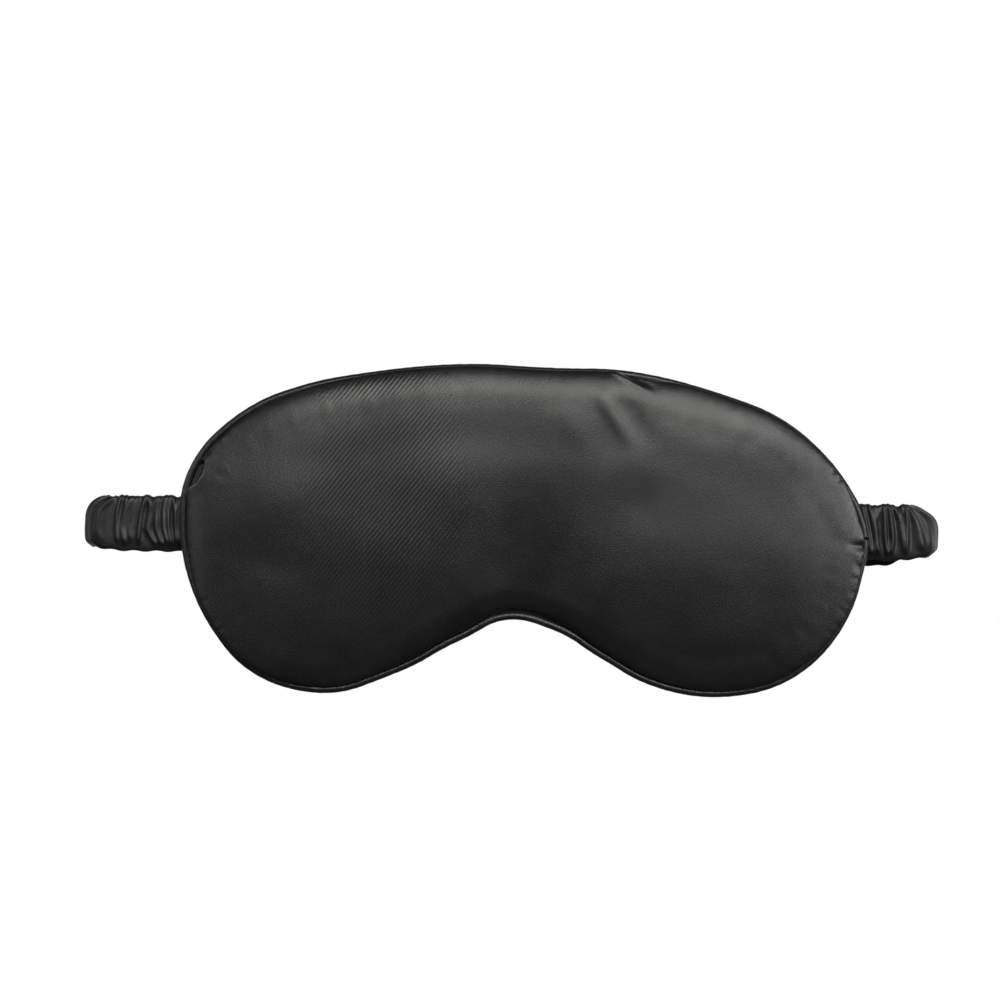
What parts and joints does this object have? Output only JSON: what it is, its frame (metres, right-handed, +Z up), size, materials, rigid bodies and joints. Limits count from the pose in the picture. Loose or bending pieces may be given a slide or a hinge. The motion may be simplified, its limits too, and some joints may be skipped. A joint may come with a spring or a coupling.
{
  "type": "sleep eye mask",
  "caption": "Padded satin sleep mask with a piped edge, a nose notch and a ruched elastic head strap that stretches and swings.",
  "frame": {"origin": "middle of the mask's width and height, on the plane where the back pad meets the wearer's face", "axes": "+X to the right as the front is seen (the wearer's left), +Y from the front towards the wearer's face, +Z up"},
  "size_m": [0.2646, 0.05, 0.1015],
  "materials": {
    "satin_front": "black satin, semi-gloss",
    "satin_back": "black satin, semi-gloss",
    "satin_piping": "black satin bias strip",
    "satin_sleeve": "black satin, gathered",
    "wadding": "soft polyester wadding, matt",
    "blackout_cloth": "dense woven blackout cloth, matt",
    "elastic": "knitted elastic, ribbed",
    "cotton_cord": "twisted cotton cord",
    "thread": "polyester thread"
  },
  "bodies": {
    "mask": {"front_panel": "satin_front", "front_wadding": "wadding", "blackout_liner": "blackout_cloth", "back_wadding": "wadding", "back_panel": "satin_back", "piping_cover": "satin_piping", "piping_cord": "cotton_cord", "seam_stitches": "thread", "closing_stitches": "thread", "strap_tack_left": "thread", "strap_tack_right": "thread", "elastic_tail_left": "elastic", "elastic_tail_right": "elastic", "sleeve_tail_left": "satin_sleeve", "sleeve_tail_right": "satin_sleeve"},
    "strap_sides": {"elastic_side_left": "elastic", "elastic_side_right": "elastic", "sleeve_side_left": "satin_sleeve", "sleeve_side_right": "satin_sleeve"},
    "strap_back": {"elastic_back": "elastic", "sleeve_back": "satin_sleeve"}
  },
  "joints": [
    {"name": "strap_swing", "type": "hinge", "parent": "mask", "child": "strap_sides", "pos_m": [0, -0.00275, 0.0006], "axis": [1, 0, 0], "range_deg": [-25, 35], "stiffness_Nm_per_rad": 0.05},
    {"name": "strap_stretch", "type": "slide", "parent": "strap_sides", "child": "strap_back", "axis": [0, 1, 0], "range_m": [-0.015, 0.15], "stiffness_N_per_m": 15, "deforming": ["elastic_side_left", "elastic_side_right", "sleeve_side_left", "sleeve_side_right"]}
  ]
}
